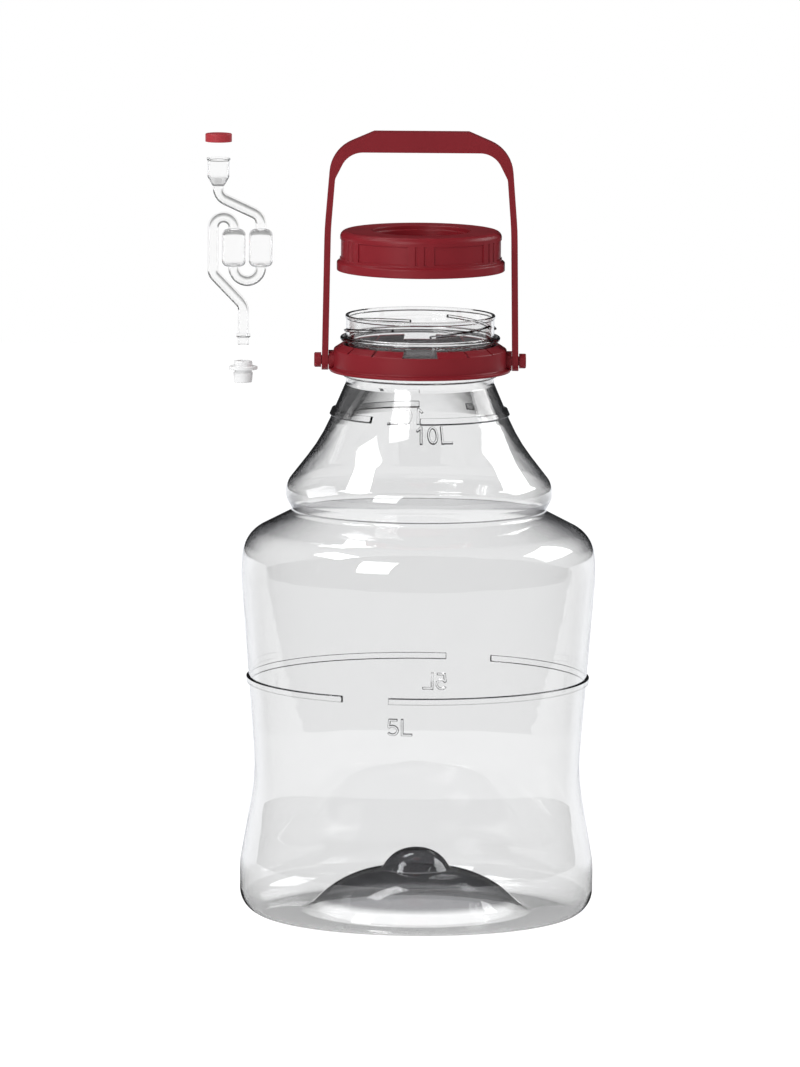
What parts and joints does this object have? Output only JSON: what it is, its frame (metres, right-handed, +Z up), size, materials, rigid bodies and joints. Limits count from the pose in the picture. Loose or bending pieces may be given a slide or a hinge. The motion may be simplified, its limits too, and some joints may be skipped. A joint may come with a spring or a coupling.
{
  "type": "fermenting bucket",
  "caption": "Clear wide-mouth fermenting jar with volume rings, red bail handle on a neck collar, lifted screw lid and a bulb airlock set apart.",
  "frame": {"origin": "centre of the jar's base, on the jar's axis, at the standing ring", "axes": "+Z up along the jar's axis, +X along the handle's pivot pins, away from the airlock; the front of the jar faces -Y"},
  "size_m": [0.2513, 0.2264, 0.5032],
  "materials": {
    "jar_clear": "clear blown plastic, glossy",
    "red_plastic": "moulded, satin",
    "gasket": "soft foam gasket, matt",
    "airlock_clear": "clear moulded plastic, glossy",
    "grommet_rubber": "pale rubber, matt"
  },
  "bodies": {
    "jar_body": {"jar": "jar_clear", "neck_collar": "red_plastic", "airlock_tube": "airlock_clear"},
    "handle_body": {"handle": "red_plastic"},
    "seal_body": {"lid_seal": "gasket"},
    "lid_body": {"lid": "red_plastic"},
    "cap_body": {"airlock_cap": "red_plastic"},
    "grommet_body": {"grommet": "grommet_rubber"}
  },
  "joints": [
    {"name": "handle_swing", "type": "hinge", "parent": "jar_body", "child": "handle_body", "pos_m": [0, 0, 0.3566], "axis": [1, 0, 0], "range_deg": [-120, 120]},
    {"name": "lid_lift", "type": "slide", "parent": "jar_body", "child": "seal_body", "axis": [0, 0, 1], "range_m": [-0.0415, 0]},
    {"name": "lid_turn", "type": "hinge", "parent": "seal_body", "child": "lid_body", "pos_m": [0, 0, 0.4145], "axis": [0, 0, 1], "range_deg": [-60, 0]},
    {"name": "cap_slide", "type": "slide", "parent": "jar_body", "child": "cap_body", "axis": [0, 0, 1], "range_m": [-0.0144, 0]},
    {"name": "grommet_slide", "type": "slide", "parent": "jar_body", "child": "grommet_body", "axis": [0, 0, 1], "range_m": [0, 0.0148]}
  ]
}
